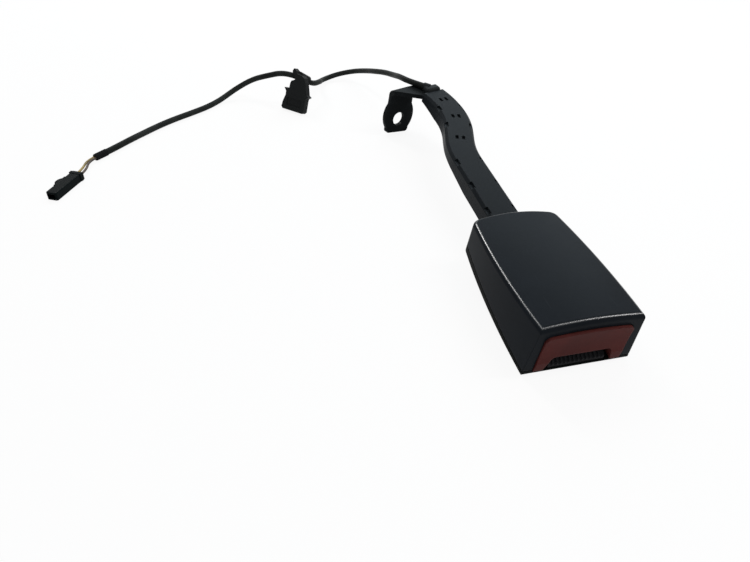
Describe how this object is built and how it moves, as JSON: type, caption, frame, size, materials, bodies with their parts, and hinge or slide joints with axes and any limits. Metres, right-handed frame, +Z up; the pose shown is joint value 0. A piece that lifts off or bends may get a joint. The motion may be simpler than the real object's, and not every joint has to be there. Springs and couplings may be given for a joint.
{
  "type": "seat belt buckle",
  "caption": "Seat belt buckle with a press button, on a sleeved steel strap that bends into a bolted anchor tab, with its buckle switch lead, harness clip and plug.",
  "frame": {"origin": "on the surface the part lies on, under the middle of the buckle and its stalk without the free lead", "axes": "+Y from the tongue mouth along the stalk towards the anchor tab, +Z up from the surface, +X to the right seen from the tongue mouth"},
  "size_m": [0.2811, 0.3652, 0.0403],
  "materials": {
    "housing_plastic": "fine satin grain",
    "button_plastic": "smooth semi-gloss dark red",
    "guide_plastic": "satin",
    "frame_steel": "zinc plated",
    "latch_steel": "hardened, satin",
    "pin_steel": "ground",
    "spring_steel": "bright wire",
    "magnet": "plated",
    "slider_plastic": "natural acetal",
    "strap_steel": "satin black coat",
    "sleeve_plastic": "satin",
    "hood_plastic": "satin",
    "switch_plastic": "satin",
    "lead_sheath": "smooth",
    "core_yellow": "soft vinyl",
    "core_dark": "soft vinyl",
    "clip_plastic": "satin",
    "connector_plastic": "satin",
    "terminal_metal": "tinned"
  },
  "bodies": {
    "stalk": {"upper_housing": "housing_plastic", "lower_housing": "housing_plastic", "entry_guide": "guide_plastic", "base_frame": "frame_steel", "cross_bridge": "frame_steel", "latch_pin": "pin_steel", "latch_spring": "spring_steel", "ejector_spring": "spring_steel", "button_spring": "spring_steel", "buckle_switch": "switch_plastic", "switch_leads": "core_dark", "inner_lead": "lead_sheath", "frame_rivets": "pin_steel", "anchor_strap": "strap_steel", "sleeve_cover": "sleeve_plastic", "sleeve_base": "sleeve_plastic", "cable_grommet": "hood_plastic", "lead_sheath": "lead_sheath", "wire_yellow": "core_yellow", "wire_dark": "core_dark", "harness_clip": "clip_plastic", "connector_housing": "connector_plastic", "connector_lock": "connector_plastic", "connector_terminals": "terminal_metal"},
    "button": {"press_button": "button_plastic", "lock_bar": "pin_steel"},
    "ejector": {"ejector": "slider_plastic", "sensor_magnet": "magnet"},
    "latch": {"latch": "latch_steel"}
  },
  "joints": [
    {"name": "button_press", "type": "slide", "parent": "stalk", "child": "button", "axis": [0, 0.9969, 0.0781], "range_m": [0, 0.005], "stiffness_N_per_m": 700, "springref_m": -0.004, "deforming": ["button_spring"]},
    {"name": "ejector_slide", "type": "slide", "parent": "stalk", "child": "ejector", "axis": [0, 0.9969, 0.0781], "range_m": [0, 0.009], "stiffness_N_per_m": 300, "springref_m": -0.004, "deforming": ["ejector_spring"]},
    {"name": "latch_hinge", "type": "hinge", "parent": "stalk", "child": "latch", "pos_m": [0, -0.08318, 0.01871], "axis": [1, 0, 0], "range_deg": [0, 15.05]}
  ],
  "couplings": [
    {"joint": "latch_hinge", "follows": "ejector_slide", "rad_per_m": 29.089}
  ]
}
